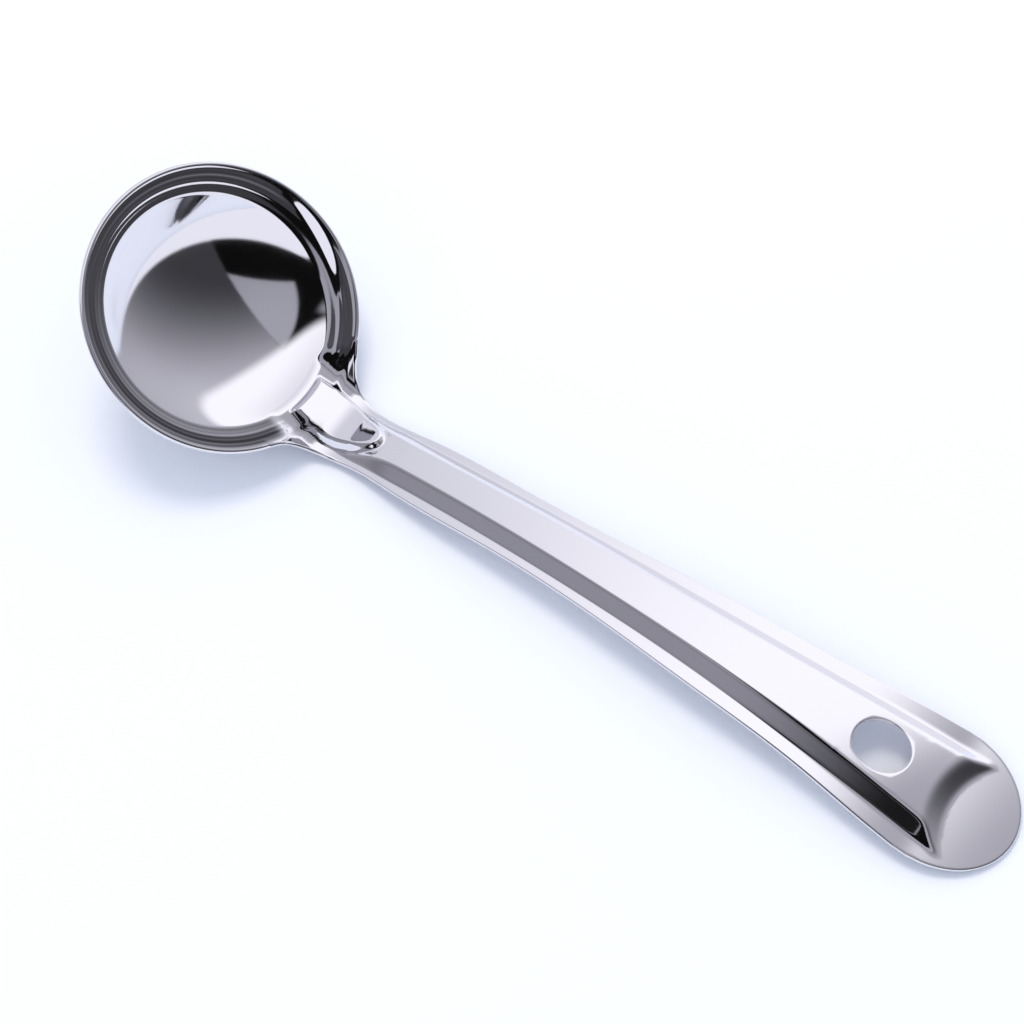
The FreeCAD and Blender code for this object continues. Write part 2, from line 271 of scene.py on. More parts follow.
class SideView:
    """Upper face of the strip seen from the side: web, bend and arched handle."""

    def __init__(self):
        self.down = np.array([math.cos(WEB_SLOPE), -math.sin(WEB_SLOPE)])
        self.up = np.array([math.sin(WEB_SLOPE), math.cos(WEB_SLOPE)])
        depth = WEB_BELOW_RIM + RIM_DROP
        self.start = np.array([
            BOWL_X + WEB_START * math.cos(RIM_LEAN) - depth * math.sin(RIM_LEAN),
            BOWL_REST - WEB_START * math.sin(RIM_LEAN) - depth * math.cos(RIM_LEAN),
        ])
        self.depth = depth
        arch_centre, self.arch_r = circle_through(ARCH_START, ARCH_TOP, (HANDLE_END, SHEET))
        self.arch_centre = np.array(arch_centre)
        shifted = self.start + BEND_R * self.up
        to_centre = shifted - self.arch_centre
        along = to_centre @ self.down
        reach = along * along - (to_centre @ to_centre - (self.arch_r + BEND_R) ** 2)
        travel = -along - math.sqrt(reach)
        if travel < 0:
            travel = -along + math.sqrt(reach)
        self.bend_centre = shifted + travel * self.down
        self.web_length = travel
        self.bend_from = math.atan2(-self.up[1], -self.up[0])
        away = self.arch_centre - self.bend_centre
        self.bend_to = math.atan2(away[1], away[0])
        self.bend_length = BEND_R * (self.bend_to - self.bend_from)
        back = self.bend_centre - self.arch_centre
        self.arch_from = math.atan2(back[1], back[0])

    def at(self, s):
        """(x, z) and upward normal at a length s along the strip; s is WEB_START where the web begins."""
        t = np.asarray(s, dtype=float) - WEB_START
        point = self.start + t[..., None] * self.down
        normal = np.broadcast_to(self.up, point.shape).copy()
        bent = t > self.web_length
        angle = self.bend_from + (t - self.web_length) / BEND_R
        ray = np.stack([np.cos(angle), np.sin(angle)], -1)
        point = np.where(bent[..., None], self.bend_centre + BEND_R * ray, point)
        normal = np.where(bent[..., None], -ray, normal)
        arched = t > self.web_length + self.bend_length
        angle = self.arch_from - (t - self.web_length - self.bend_length) / self.arch_r
        ray = np.stack([np.cos(angle), np.sin(angle)], -1)
        point = np.where(arched[..., None], self.arch_centre + self.arch_r * ray, point)
        normal = np.where(arched[..., None], ray, normal)
        return point, normal

    def length_at(self, x):
        """Length along the strip at a place x on the arched handle."""
        angle = math.acos((x - self.arch_centre[0]) / self.arch_r)
        return WEB_START + self.web_length + self.bend_length + (self.arch_from - angle) * self.arch_r


side = SideView()


def outline():
    """Half width of the strip against x, and the x where the tip's oval takes over."""
    centre_y = NECK_HALF + WEB_FILLET
    centre_x = math.sqrt((LIP_R + HALF_SHEET + WEB_FILLET) ** 2 - centre_y**2)
    start_x = (LIP_R + HALF_SHEET) / (LIP_R + HALF_SHEET + WEB_FILLET) * centre_x
    points = []
    for share in (0.0, 0.1, 0.2, 0.32, 0.45, 0.58, 0.72):
        x = start_x + share * (centre_x - start_x)
        y = centre_y - math.sqrt(WEB_FILLET**2 - (centre_x - x) ** 2)
        points.append((x * math.cos(RIM_LEAN) - WEB_BELOW_RIM * math.sin(RIM_LEAN), y))
    points.extend(HANDLE_HALF)
    join = math.atan2(1.0, -TIP_FLARE * TIP_LENGTH / TIP_HALF)
    joint_x = HANDLE_END - TIP_LENGTH + TIP_LENGTH * math.cos(join)
    joint_y = TIP_HALF * math.sin(join)
    points.append((joint_x - 7.0, joint_y - 7.0 * TIP_FLARE * 1.05))
    points.append((joint_x, joint_y))
    return Spline(points), joint_x


strip_half, JOINT_X = outline()
crown_foot = Spline(CROWN_FOOT)
crown_rise = Spline(CROWN_RISE)
rib_half = Spline(RIB_HALF)
rib_height = Spline(RIB_HEIGHT)


def crown_bump(x, y):
    """Height of the raised middle over the strip."""
    foot = crown_foot(x)
    rise = np.clip(crown_rise(x), 0.0, 1.0)
    steep = Sizes.crown_height / Sizes.crown_wall
    wall = (foot - np.abs(y)) * steep
    across = np.clip(np.abs(y) / np.maximum(foot - Sizes.crown_wall, 0.5), 0.0, 1.6)
    top = rise * (Sizes.crown_height + CROWN_BULGE * (1.0 - across**2))
    end_wall = np.hypot(x - PAD_CENTRE, y) - PAD_R
    bump = smooth_min(wall, top, 0.5)
    bump = smooth_min(bump, end_wall, 1.1)
    return smooth_max(bump, np.zeros_like(bump), 0.35)


def rib_bump(x, y):
    """Height of the neck's rib over the web."""
    half = rib_half(x)
    straight = half - np.abs(y)
    px = np.maximum(x - TONGUE_START, 0.0) / TONGUE_LENGTH
    py = np.abs(y) / TONGUE_HALF
    reach = np.maximum(np.hypot(px, py), 1e-6)
    slope = np.hypot(px / TONGUE_LENGTH, py / TONGUE_HALF) / reach
    rounded = (1.0 - reach) / np.maximum(slope, 1e-6)
    inside = np.where(x > TONGUE_START, rounded, straight)
    top = rib_height(x) + RIB_BULGE * (1.0 - np.clip(np.abs(y) / 4.0, 0.0, 1.5) ** 2)
    bump = smooth_min(inside * RIB_STEEP, top, 0.9)
    bump = smooth_max(bump, np.zeros_like(bump), 0.4)
    return np.where(x > TONGUE_START + TONGUE_LENGTH * 1.3, 0.0, bump)


def web_level(x):
    """Middle of the web's thickness against the bowl's centre, in the rim's directions."""
    tilt = RIM_LEAN - WEB_SLOPE
    return -side.depth - HALF_SHEET / math.cos(tilt) + (x - WEB_START) * math.tan(tilt)


def flange_level(r):
    """The flared rim, a little steeper at the bowl and flatter at the lip."""
    start_x, start_z = flange_start()
    run = np.minimum(r, LIP_R) - start_x
    length = LIP_R - start_x
    bow = RIM_BOW * 4.0 * run * (length - run) / length**2
    bow = np.where(run < 0.0, RIM_BOW * 4.0 * run / length, bow)
    return start_z + run * math.tan(RIM_SLOPE) + bow


def fold_bump(x, y):
    """How far the flared rim stands over the web, fading to nothing across the fold."""
    r = np.hypot(x, y)
    full = flange_level(r) - web_level(x)
    ramp = (np.abs(y) - FOLD_START) / math.tan(FOLD_LEAN)
    ramp = np.where(x < 12.0, 60.0, ramp)
    low = smooth_min(ramp, full, 0.9)
    return np.where(x < 12.0, full, smooth_max(low, np.zeros_like(low), 0.9))


def rim_height(x, y):
    """Middle of the sheet over the rim's plane directions, for everything outside the bowl's edge."""
    return web_level(x) + fold_bump(x, y)


def table_x(x, y):
    """Place along the handle of a point on the web, given in the rim's directions."""
    return from_rim(x, y, web_level(x) + HALF_SHEET)[..., 0]


def raised(x, y):
    """Height of crown and rib together."""
    return smooth_max(crown_bump(x, y), rib_bump(x, y), 0.5)


def strip_point(s, y):
    """Top face of the strip and its upward direction, at a length s and a place y across."""
    point, normal = side.at(s)
    x = point[..., 0]
    tilt = RIM_LEAN - WEB_SLOPE
    rim_x = WEB_START + (s - WEB_START) * math.cos(tilt)
    bump = raised(x, y) + fold_bump(rim_x, y) * ease((48.0 - rim_x) / 10.0)
    lifted = point + normal * bump[..., None]
    top = np.stack([lifted[..., 0], np.broadcast_to(y, bump.shape), lifted[..., 1]], -1)
    up = np.stack([normal[..., 0], np.zeros_like(bump), normal[..., 1]], -1)
    return top, up


class MeshMaker:
    """Collects points and faces for one mesh."""

    def __init__(self):
        self.points = []
        self.faces = []

    def add(self, points):
        """Adds rows of points and returns their numbers in the same layout."""
        flat = np.asarray(points, dtype=float).reshape(-1, 3)
        first = len(self.points)
        self.points.extend(flat.tolist())
        return np.arange(first, first + len(flat)).reshape(np.asarray(points).shape[:-1])

    def grid(self, ids, flip=False, close=False, skip=None):
        """Adds faces between rows of point numbers; a face whose points fall together loses a corner."""
        rows, cols = ids.shape
        for i in range(rows - 1):
            for j in range(cols if close else cols - 1):
                if skip is not None and skip(i, j):
                    continue
                k = (j + 1) % cols
                quad = [ids[i, j], ids[i + 1, j], ids[i + 1, k], ids[i, k]]
                quad = [int(q) for n, q in enumerate(quad) if q != quad[n - 1]]
                if len(quad) > 2:
                    self.faces.append(quad[::-1] if flip else quad)


def bowl_angles():
    """Angles round the bowl: even steps in the neck's sector, wider ones elsewhere."""
    # the last column of the strip starts where the lip's circle meets the outline
    angle = 0.3
    for _ in range(60):
        x = LIP_R * math.cos(angle)
        gap = strip_half(table_x(np.array(x), np.array(0.0))) - HALF_SHEET - LIP_R * math.sin(angle)
        angle += float(gap) / LIP_R * 0.5
    neck = np.linspace(-angle, angle, NECK_COLUMNS)
    rest = np.linspace(angle, 2 * math.pi - angle, REST_COLUMNS + 2)[1:-1]
    return neck, rest


def bowl_section(theta):
    """Top and underside of the sheet along the bowl's section at each angle."""
    cos_t = np.cos(theta)
    sin_t = np.sin(theta)

    def level(r):
        """Height of the sheet's middle at a distance from the axis, for every angle."""
        return rim_height(r * cos_t, r * sin_t)

    # the rim's slope beside the bowl's edge, where the small bend has to meet it
    inner = BALL_R - 0.3
    slope = (level(BALL_R) - level(inner)) / (BALL_R - inner)
    base = level(inner) - slope * inner
    alpha = np.full(theta.shape, EDGE_ANGLE)
    reach = BALL_R + EDGE_BEND_R
    steep = np.sqrt(1.0 + slope**2)
    for _ in range(30):
        gap = (base + slope * reach * np.cos(alpha) - reach * np.sin(alpha)) / steep - EDGE_BEND_R
        rate = reach * (-slope * np.sin(alpha) - np.cos(alpha)) / steep
        alpha = alpha - gap / rate
    sigma = np.arctan(slope)
    centre_r = reach * np.cos(alpha)
    centre_h = reach * np.sin(alpha)
    tops = []
    lows = []

    def put(r_top, h_top, r_low, h_low, bump=0.0):
        """Adds one row of the section, given by radius and height of both faces."""
        tops.append(from_rim(r_top * cos_t, r_top * sin_t, h_top + bump))
        lows.append(from_rim(r_low * cos_t, r_low * sin_t, h_low + bump))

    for share in np.linspace(0.0, 1.0, BOWL_ROWS + 1)[1:]:
        phi = -math.pi / 2 + share * (alpha + math.pi / 2)
        ti = BALL_R - HALF_SHEET
        to = BALL_R + HALF_SHEET
        c = np.cos(phi)
        s = np.sin(phi)
        put(ti * c, ti * s, to * c, to * s)
    for share in np.linspace(0.0, 1.0, EDGE_ROWS + 1)[1:]:
        phi = math.pi + alpha + share * (sigma - math.pi / 2 - alpha)
        ti = EDGE_BEND_R + HALF_SHEET
        to = EDGE_BEND_R - HALF_SHEET
        c = np.cos(phi)
        s = np.sin(phi)
        put(centre_r + ti * c, centre_h + ti * s, centre_r + to * c, centre_h + to * s)
    start = centre_r - EDGE_BEND_R * np.sin(sigma)
    nx = -np.sin(sigma) * HALF_SHEET
    nh = np.cos(sigma) * HALF_SHEET
    for share in np.linspace(0.0, 1.0, FLANGE_ROWS + 1)[1:]:
        r = start + share * (LIP_R - start)
        h = level(r)
        x = r * cos_t
        y = r * sin_t
        tx = table_x(x, y)
        bump = rib_bump(tx, y) * ease((x - WEB_START - 0.2) / 2.2) * (cos_t > 0.5)
        fade = ease(share * 5.0)
        put(r + nx, h + nh, r - nx, h - nh, bump * fade)
    return np.array(tops), np.array(lows)


def turned(normals, guide, share, steepest=None):
    """Normals turned towards a guide direction, keeping a share of their angle to it."""
    cosine = np.clip((normals * guide).sum(-1), -1.0, 1.0)
    across = normals - cosine[..., None] * guide
    across /= np.maximum(np.linalg.norm(across, axis=-1), 1e-9)[..., None]
    angle = np.arccos(cosine) * share
    if steepest is not None:
        angle = smooth_min(angle, steepest, 0.12)
    return np.cos(angle)[..., None] * guide + np.sin(angle)[..., None] * across


def tipped_back(normals, angle):
    """Normals tipped towards the bowl by an angle."""
    x = normals[..., 0] * np.cos(angle) - normals[..., 2] * np.sin(angle)
    z = normals[..., 0] * np.sin(angle) + normals[..., 2] * np.cos(angle)
    return np.stack([x, normals[..., 1], z], -1)


def rim_waves(across, theta, calm):
    """Turn of the flared rim's normals: one slow roll, and fine ripples that drift round the rim."""
    roll = ROLL * math.sin(2.0 * math.pi * (ROLL_TURNS * across + ROLL_FROM))
    ripple = np.sin(2.0 * math.pi * RIPPLE_TURNS * across + RIPPLE_DRIFT * np.sin(theta + RIPPLE_FROM))
    return (roll + RIPPLE * ripple * calm) * ease(across * 4.0)


def streak_share(across, along):
    """Strength of the light streak: a slanting band that fades at both ends and before the lip."""
    off = (across - STREAK_ACROSS - STREAK_SLANT * along) / STREAK_WIDTH
    before_lip = 1.0 - ease((across - 0.86) / 0.12)
    return ease(STREAK_GAIN * np.exp(-along * along - off * off) * before_lip)


def ease_bowl(normals, top_ids, theta):
    """Turns the normals of the bowl's inside and of the flared rim, row by row."""
    bowl_axis = np.array([math.sin(BOWL_TILT), 0.0, math.cos(BOWL_TILT)])
    rim_axis = np.array([
        math.sin(RIM_TILT) * math.cos(RIM_ASIDE),
        math.sin(RIM_ASIDE),
        math.cos(RIM_TILT) * math.cos(RIM_ASIDE),
    ])
    inward = -(np.cos(theta)[:, None] * ALONG + np.sin(theta)[:, None] * ACROSS)
    off_neck = np.abs(np.angle(np.exp(1j * theta)))
    on_neck = (1.0 - ease((off_neck - NECK_ANGLE) / NECK_BLEND))[:, None]
    low_side = 0.5 + 0.5 * np.cos(theta - LOW_SIDE)
    steepest = BOWL_STEEPEST + (LOW_SIDE_STEEPEST - BOWL_STEEPEST) * ease(low_side * 1.6 - 0.35)
    along = np.angle(np.exp(1j * (theta - STREAK_AT))) / STREAK_LENGTH
    calm = 1.0 - STREAK_CALM * np.exp(-along * along)
    streak = look(STREAK_AZIMUTH, STREAK_RISE)
    first_edge_row = top_ids.shape[0] - FLANGE_ROWS - EDGE_ROWS
    for i, ids in enumerate(top_ids):
        now = normals[ids]
        part = min(max(i - first_edge_row + 1, 0) / EDGE_ROWS, 1.0)
        across = max(i - first_edge_row - EDGE_ROWS, 0) / FLANGE_ROWS
        dished = turned(now, bowl_axis, BOWL_EASE, steepest)
        flared = turned(now, rim_axis, RIM_EASE) + rim_waves(across, theta, calm)[:, None] * inward
        shine = streak_share(across, along)[:, None]
        flared = flared * (1.0 - shine) + streak * shine
        flared = flared * (1.0 - on_neck) + tipped_back(now, NECK_BACK) * on_neck
        eased = dished * (1.0 - part) + flared * part
        normals[ids] = eased / np.linalg.norm(eased, axis=-1)[:, None]


def ease_strip(normals, strip_top, strip_x):
    """Tips the neck's normals back and eases those of the wall before the pad."""
    ids = strip_top[1:]
    end = ease((strip_x - WALL_EASE_FROM) / 6.0)
    eased = turned(normals[ids], UP, 1.0 - WALL_EASE * end)
    back = NECK_BACK * (1.0 - ease((strip_x - NECK_BACK_TO) / 7.0))
    normals[ids] = tipped_back(eased, back)


def join_normals(normals, top_ids, strip_top):
    """Lets the normals run evenly over the joint of bowl and strip."""
    columns = strip_top.shape[1]
    run = [top_ids[-1 - k, :columns] for k in range(JOIN_ROWS, 0, -1)]
    run += [strip_top[k] for k in range(JOIN_ROWS + 1)]
    for k in range(1, len(run) - 1):
        share = ease(k / (len(run) - 1.0))
        mixed = normals[run[0]] * (1.0 - share) + normals[run[-1]] * share
        normals[run[k]] = mixed / np.linalg.norm(mixed, axis=-1)[:, None]


def ease_normals(mesh, top_ids, theta, strip_top, strip_x):
    """Gives the upper face shading normals with which it mirrors as a gently dished sheet does."""
    flat = np.empty(len(mesh.vertices) * 3)
    mesh.vertices.foreach_get("normal", flat)
    normals = flat.reshape(-1, 3)
    ease_bowl(normals, top_ids, theta)
    ease_strip(normals, strip_top, strip_x)
    join_normals(normals, top_ids, strip_top)
    mesh.normals_split_custom_set_from_vertices(normals.tolist())


def strip_places(neck):
    """Length along and place across the strip for each point of its grid, from the bowl to the tip."""
    lip_x = LIP_R * np.cos(neck)
    lip_y = LIP_R * np.sin(neck)
    first = WEB_START + (lip_x - WEB_START) / math.cos(RIM_LEAN - WEB_SLOPE)
    share = lip_y / (strip_half(side.at(first)[0][..., 0]) - HALF_SHEET)
    rows = [first + (WEB_ROWS_END - first) * (i / WEB_ROWS) for i in range(1, WEB_ROWS + 1)]
    for s in np.linspace(WEB_ROWS_END, side.length_at(JOINT_X), HANDLE_ROWS + 1)[1:]:
        rows.append(np.full(len(neck), s))
    s_rows = np.array(rows)
    x_rows = side.at(s_rows)[0][..., 0]
    half = strip_half(x_rows) - HALF_SHEET
    # columns drift towards even steps across each of the crown's faces
    foot = crown_foot(x_rows)
    crest = foot - Sizes.crown_wall
    marks = np.linspace(-1.0, 1.0, len(neck))
    size = np.abs(marks)
    on_wall = crest + (foot - crest) * (size - 0.4) / 0.4
    on_flange = foot + (half - foot) * (size - 0.8) / 0.2
    even = np.where(size < 0.4, crest * size / 0.4, np.where(size < 0.8, on_wall, on_flange))
    drift = ease((s_rows - 30.0) / 14.0)
    y_rows = share * half * (1.0 - drift) + even * np.sign(marks) * drift
    # the tip's rows run straight forward to its oval end
    last_y = y_rows[-1]
    reach = np.sqrt(np.maximum(1.0 - (last_y / (TIP_HALF - HALF_SHEET)) ** 2, 0.0))
    joint = x_rows[-1]
    goal = np.maximum(HANDLE_END - TIP_LENGTH + (TIP_LENGTH - HALF_SHEET) * reach, joint)
    tip_s = []
    for i in range(1, TIP_ROWS + 1):
        tip_s.append([side.length_at(x) for x in joint + (goal - joint) * (i / TIP_ROWS)])
    return np.vstack([s_rows, np.array(tip_s)]), np.vstack([y_rows, np.tile(last_y, (TIP_ROWS, 1))])


def lay_strip(maker, strip_top, strip_low, s_all, y_all):
    """Faces of the strip, with a block left out where rings of points close in on the oval hole."""
    half_long = Sizes.hole_half_length
    half_wide = Sizes.hole_half_width
    hole_s = side.length_at(Sizes.hole_at)
    s_line = np.concatenate([[0.0], s_all[:, s_all.shape[1] // 2]])
    row_a = int(np.searchsorted(s_line, hole_s - half_long - HOLE_FRAME_LONG))
    row_b = int(np.searchsorted(s_line, hole_s + half_long + HOLE_FRAME_LONG))
    y_line = y_all[row_a - 1]
    col_a = int(np.searchsorted(y_line, -half_wide - HOLE_FRAME_WIDE))
    col_b = int(np.searchsorted(y_line, half_wide + HOLE_FRAME_WIDE))

    def in_block(i, j):
        """Whether a face of the grid lies in the block."""
        return row_a <= i < row_b and col_a <= j < col_b

    maker.grid(strip_top, skip=in_block)
    maker.grid(strip_low, flip=True, skip=in_block)

    loop = [(row_a, j) for j in range(col_a, col_b)]
    loop += [(i, col_b) for i in range(row_a, row_b)]
    loop += [(row_b, j) for j in range(col_b, col_a, -1)]
    loop += [(i, col_a) for i in range(row_b, row_a, -1)]
    ring_s = np.array([s_all[i - 1, j] for i, j in loop])
    ring_y = np.array([y_all[i - 1, j] for i, j in loop])
    phi = np.arctan2(ring_y / half_wide, (ring_s - hole_s) / half_long)

    def oval(grow):
        """Points round the hole, a little outside its wall."""
        return hole_s + (half_long + grow) * np.cos(phi), (half_wide + grow) * np.sin(phi)

    goal_s, goal_y = oval(HOLE_ROUND)
    hole_top = [np.array([strip_top[i, j] for i, j in loop])]
    hole_low = [np.array([strip_low[i, j] for i, j in loop])]
    for i in range(1, HOLE_RINGS + 1):
        t = i / HOLE_RINGS
        top, up = strip_point(ring_s + (goal_s - ring_s) * t, ring_y + (goal_y - ring_y) * t)
        hole_top.append(maker.add(top))
        hole_low.append(maker.add(top - up * SHEET))
    for angle in (30.0, 60.0, 90.0):
        a = math.radians(angle)
        wall_s, wall_y = oval(HOLE_ROUND * (1.0 - math.sin(a)))
        top, up = strip_point(wall_s, wall_y)
        drop = HOLE_ROUND * (1.0 - math.cos(a))
        hole_top.append(maker.add(top - up * drop))
        hole_low.append(maker.add(top - up * (SHEET - drop)))
    maker.grid(np.array(hole_top), close=True)
    maker.grid(np.array(hole_low), close=True, flip=True)
    maker.grid(np.vstack([hole_top[-1], hole_low[-1]]), close=True)


def cut_profile(a):
    """Reach of a cut edge outwards, and its height as a share of half the sheet, by angle from the top."""
    q = min(a, math.pi - a) / (math.pi / 2)
    if q < 0.35:
        out = (HALF_SHEET - CUT_CORNER) * q / 0.35
        up = 1.0
    elif q < 0.85:
        b = (q - 0.35) / 0.5 * math.pi / 2
        out = HALF_SHEET - CUT_CORNER + CUT_CORNER * math.sin(b)
        up = 1.0 - CUT_CORNER / HALF_SHEET * (1.0 - math.cos(b))
    else:
        out = HALF_SHEET
        up = (1.0 - CUT_CORNER / HALF_SHEET) * (1.0 - (q - 0.85) / 0.15)
    return out, up if a < math.pi / 2 + 1e-9 else -up


def free_edge(rim_ids, strip_ids):
    """Point numbers along the sheet's free edge: round the rim, one side of the handle, the tip and back."""
    columns = strip_ids.shape[1]
    edge = [rim_ids[-1, columns - 1]] + list(rim_ids[-1, columns:]) + [rim_ids[-1, 0]]
    edge += list(strip_ids[1:, 0]) + list(strip_ids[-1, 1:]) + list(strip_ids[-2:0:-1, -1])
    return np.array(edge)


def close_edge(maker, top_ids, low_ids, strip_top, strip_low):
    """Joins top and underside round the free edge: fully rounded on the rim, a cut edge on the handle."""
    edge_top = free_edge(top_ids, strip_top)
    edge_low = free_edge(low_ids, strip_low)
    rim_count = top_ids.shape[1] - strip_top.shape[1] + 2
    points = np.array(maker.points)
    tops = points[edge_top]
    keep = [0]
    for k in range(1, len(tops)):
        if np.linalg.norm(tops[k] - tops[keep[-1]]) > 1e-3:
            keep.append(k)
    edge_top = edge_top[keep]
    edge_low = edge_low[keep]
    tops = points[edge_top]
    lows = points[edge_low]
    full_round = np.array([1.0 if k < rim_count else 0.0 for k in keep])
    for _ in range(6):
        full_round = (np.roll(full_round, 1) + full_round + np.roll(full_round, -1)) / 3.0
    up = tops - lows
    up /= np.linalg.norm(up, axis=1)[:, None]
    run = np.roll(tops, -1, axis=0) - np.roll(tops, 1, axis=0)
    run /= np.linalg.norm(run, axis=1)[:, None]
    out = np.cross(run, up)
    out /= np.linalg.norm(out, axis=1)[:, None]
    middle = (tops + lows) / 2.0
    half_thick = np.linalg.norm(tops - lows, axis=1) / 2.0
    rings = [edge_top]
    for k in range(1, EDGE_RINGS):
        a = math.pi * k / EDGE_RINGS
        cut_out, cut_up = cut_profile(a)
        out_by = full_round * HALF_SHEET * math.sin(a) + (1.0 - full_round) * cut_out
        up_by = (full_round * math.cos(a) + (1.0 - full_round) * cut_up) * half_thick
        rings.append(maker.add(middle + out * out_by[:, None] + up * up_by[:, None]))
    rings.append(edge_low)
    maker.grid(np.array(rings), close=True)


def bowl_place():
    """Where the middle of the bowl lies along X, so that the handle ends where the CAD node does."""
    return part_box("ladle")[1][0] / MM - HANDLE_END


def build_ladle(piece_name):
    """The ladle as one closed mesh: bowl and strip on top and underside, joined round the free edge."""
    maker = MeshMaker()
    neck, rest = bowl_angles()
    theta = np.concatenate([neck, rest])
    tops, lows = bowl_section(theta)
    middle = np.zeros(1)
    top_pole = maker.add(from_rim(middle, middle, middle - (BALL_R - HALF_SHEET)))
    low_pole = maker.add(from_rim(middle, middle, middle - (BALL_R + HALF_SHEET)))
    top_ids = np.vstack([np.full((1, len(theta)), top_pole[0]), maker.add(tops)])
    low_ids = np.vstack([np.full((1, len(theta)), low_pole[0]), maker.add(lows)])
    maker.grid(top_ids, close=True)
    maker.grid(low_ids, flip=True, close=True)

    s_all, y_all = strip_places(neck)
    top, up = strip_point(s_all, y_all)
    strip_top = np.vstack([top_ids[-1:, :len(neck)], maker.add(top)])
    strip_low = np.vstack([low_ids[-1:, :len(neck)], maker.add(top - up * SHEET)])
    lay_strip(maker, strip_top, strip_low, s_all, y_all)
    close_edge(maker, top_ids, low_ids, strip_top, strip_low)

    points = np.array(maker.points)
    points[:, 0] += bowl_place()
    mesh = bpy.data.meshes.new(piece_name)
    mesh.from_pydata((points * MM).tolist(), [], maker.faces)
    mesh.update()
    for polygon in mesh.polygons:
        polygon.use_smooth = True
    ease_normals(mesh, top_ids, theta, strip_top, side.at(s_all)[0][..., 0])
    piece = bpy.data.objects.new(piece_name, mesh)
    bpy.context.scene.collection.objects.link(piece)
    return piece


def to_linear(code):
    """A hex colour code as linear red, green, blue and alpha."""
    values = [int(code[i:i + 2], 16) / 255.0 for i in (1, 3, 5)]
    return [v / 12.92 if v <= 0.04045 else ((v + 0.055) / 1.055) ** 2.4 for v in values] + [1.0]


def polished_steel(colour, smoothest, roughest):
    """Pressed stainless sheet, buffed to a mirror: the wheel leaves hair lines and an uneven gloss."""
    material = bpy.data.materials.new("buffed stainless steel")
    material.use_nodes = True
    tree = material.node_tree
    shader = tree.nodes["Principled BSDF"]
    shader.inputs["Base Color"].default_value = colour
    shader.inputs["Metallic"].default_value = 1.0
    place = add_node(tree, "ShaderNodeTexCoord").outputs["Object"]
    # gloss drifts over patches of some 9 mm, where the wheel pressed harder
    patches = add_node(tree, "ShaderNodeTexNoise", {"Scale": 110.0, "Detail": 3.0}, {"Vector": place})
    gloss_range = {"To Min": smoothest, "To Max": roughest}
    gloss = add_node(tree, "ShaderNodeMapRange", gloss_range, {"Value": patches.outputs["Fac"]})
    tree.links.new(gloss.outputs["Result"], shader.inputs["Roughness"])
    # hair lines about 0.3 mm apart run along the ladle
    along = add_node(tree, "ShaderNodeMapping", {"Scale": (90.0, 3300.0, 900.0)}, {"Vector": place})
    one_octave = {"Scale": 1.0, "Detail": 1.0}
    lines = add_node(tree, "ShaderNodeTexNoise", one_octave, {"Vector": along.outputs["Vector"]})
    depth = {"Strength": 0.06, "Distance": 0.00002}
    relief = add_node(tree, "ShaderNodeBump", depth, {"Height": lines.outputs["Fac"]})
    tree.links.new(relief.outputs["Normal"], shader.inputs["Normal"])
    return material


def place_camera(centre_x):
    """Camera at the photo's viewing angle, level, with a long lens, aimed until the bowl is in its place."""
    azimuth = math.radians(-44.706)
    elevation = math.radians(58.484)
    distance = 569.16
    # focal length and the bowl's place from the middle of the frame, in pixels of a 1024 wide frame
    frame_width = 1024.0
    focal = 3000.0
    goal = (-289.808, -204.834)
    target = np.array([centre_x, 0.0, 21.49])
    back = np.array([
        math.cos(azimuth) * math.cos(elevation),
        math.sin(azimuth) * math.cos(elevation),
        math.sin(elevation),
    ])
    position = target + distance * back
    yaw = azimuth + math.pi
    pitch = -elevation

    def axes(yaw, pitch):
        """Forward, right and up directions of a level camera."""
        flat = math.cos(pitch)
        forward = np.array([math.cos(yaw) * flat, math.sin(yaw) * flat, math.sin(pitch)])
        right = np.array([math.sin(yaw), -math.cos(yaw), 0.0])
        return forward, right, np.cross(right, forward)

    def miss(yaw, pitch):
        """How many pixels the target lies from its place in the frame."""
        forward, right, up = axes(yaw, pitch)
        ray = target - position
        depth = ray @ forward
        return np.array([focal * (ray @ right) / depth - goal[0], -focal * (ray @ up) / depth - goal[1]])

    for _ in range(20):
        now = miss(yaw, pitch)
        step = 1e-6
        by_yaw = (miss(yaw + step, pitch) - now) / step
        by_pitch = (miss(yaw, pitch + step) - now) / step
        turn = np.linalg.solve(np.stack([by_yaw, by_pitch], 1), now)
        yaw -= turn[0]
        pitch -= turn[1]
    forward, right, up = axes(yaw, pitch)
    data = bpy.data.cameras.new("product camera")
    data.sensor_width = 36.0
    data.lens = focal / frame_width * data.sensor_width
    data.clip_start = 0.01
    data.clip_end = 20.0
    camera = bpy.data.objects.new("product camera", data)
    bpy.context.scene.collection.objects.link(camera)
    rotation = np.eye(4)
    rotation[:3, 0] = right
    rotation[:3, 1] = up
    rotation[:3, 2] = -forward
    rotation[:3, 3] = position * MM
    camera.matrix_world = Matrix(rotation.tolist())
    bpy.context.scene.camera = camera
    return camera


def add_node(tree, kind, inputs=None, links=None, **settings):
    """Adds one node, sets its inputs and connects the named ones."""
    node = tree.nodes.new(kind)
    for key, value in settings.items():
        setattr(node, key, value)
    for key, value in (inputs or {}).items():
        node.inputs[key].default_value = value
    for key, socket in (links or {}).items():
        tree.links.new(socket, node.inputs[key])
    return node


def grey(level):
    """A faintly cool studio tone, given as the value it has in the finished picture."""
    step = max(0, min(255, int(level)))
    return to_linear("#%02X%02X%02X" % (step, step, min(255, step + min(9, step // 14))))


